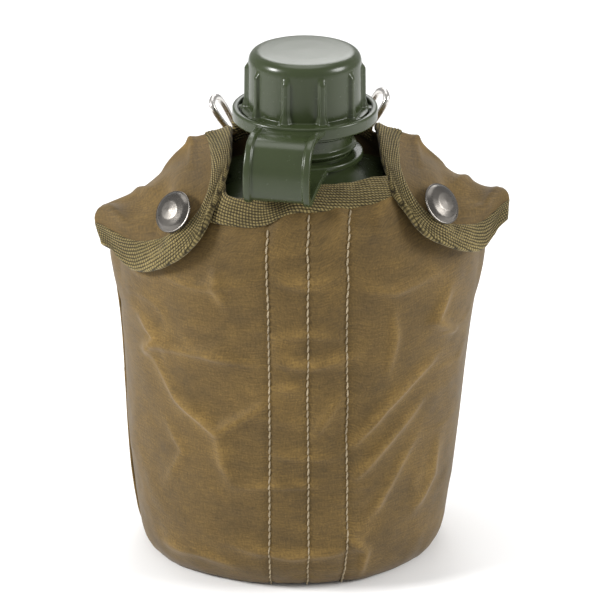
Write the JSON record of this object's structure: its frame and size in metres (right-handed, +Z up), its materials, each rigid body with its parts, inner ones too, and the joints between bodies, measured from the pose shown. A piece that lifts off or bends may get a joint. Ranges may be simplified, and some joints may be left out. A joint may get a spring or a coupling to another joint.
{
  "type": "belt canteen",
  "caption": "Kidney-shaped green plastic water canteen with a ribbed screw cap on a retaining strap, in a tan canvas carrying cover with snapped flaps and a wire belt hook.",
  "frame": {"origin": "on the flat base, under the axis of the neck", "axes": "+Z up along the neck, -Y towards the bulging front with the snaps, +X to the viewer's right from the front"},
  "size_m": [0.1572, 0.0963, 0.2062],
  "materials": {
    "green_plastic": "satin-gloss moulded olive green",
    "black_rubber": "matt",
    "canvas": "waxed cotton canvas, creased",
    "tape": "herringbone cotton tape",
    "felt": "matt wool felt",
    "thread": "cotton thread",
    "nickel": "nickel plated"
  },
  "bodies": {
    "bottle_in_cover": {"bottle_shell": "green_plastic", "lining_base": "felt", "lining_front": "felt", "lining_back": "felt", "cover_base": "canvas", "cover_front_right": "canvas", "cover_front_left": "canvas", "cover_back": "canvas", "front_binding": "tape", "collar_binding": "tape", "stitch_row_left": "thread", "stitch_row_centre": "thread", "stitch_row_right": "thread", "right_snap_stud": "nickel", "right_stud_rivet": "nickel", "left_snap_stud": "nickel", "left_stud_rivet": "nickel", "hook_hanger": "tape"},
    "strap": {"strap_neck_ring": "green_plastic", "strap_band": "green_plastic"},
    "cap_ring": {"strap_cap_ring": "green_plastic"},
    "cap": {"screw_cap": "green_plastic", "cap_seal": "black_rubber"},
    "right_flap_body": {"right_flap": "canvas", "right_flap_binding": "tape", "right_snap_socket": "nickel", "right_snap_cap": "nickel"},
    "left_flap_body": {"left_flap": "canvas", "left_flap_binding": "tape", "left_snap_socket": "nickel", "left_snap_cap": "nickel"},
    "hook": {"belt_hook": "nickel"}
  },
  "joints": [
    {"name": "strap_swivel", "type": "hinge", "parent": "bottle_in_cover", "child": "strap", "pos_m": [0, 0, 0.165], "axis": [0, 0, 1], "range_deg": [-14, 4]},
    {"name": "cap_lift", "type": "slide", "parent": "strap", "child": "cap_ring", "axis": [0, 0, 1], "range_m": [0, 0.0251], "deforming": ["strap_band"]},
    {"name": "cap_unscrew", "type": "hinge", "parent": "cap_ring", "child": "cap", "pos_m": [0, 0, 0.19], "axis": [0, 0, 1], "range_deg": [0, 1800]},
    {"name": "right_flap_open", "type": "hinge", "parent": "bottle_in_cover", "child": "right_flap_body", "pos_m": [0.028, 0.02, 0.168], "axis": [-0.8231, 0.1572, 0.5457], "range_deg": [0, 100]},
    {"name": "left_flap_open", "type": "hinge", "parent": "bottle_in_cover", "child": "left_flap_body", "pos_m": [-0.028, 0.02, 0.168], "axis": [-0.8231, -0.1572, -0.5457], "range_deg": [0, 100]},
    {"name": "belt_hook_tilt", "type": "hinge", "parent": "bottle_in_cover", "child": "hook", "pos_m": [0, 0.0383, 0.147], "axis": [-1, 0, 0], "range_deg": [0, 60]}
  ],
  "couplings": [
    {"joint": "cap_lift", "follows": "cap_unscrew", "m_per_rad": 0.00079577}
  ]
}
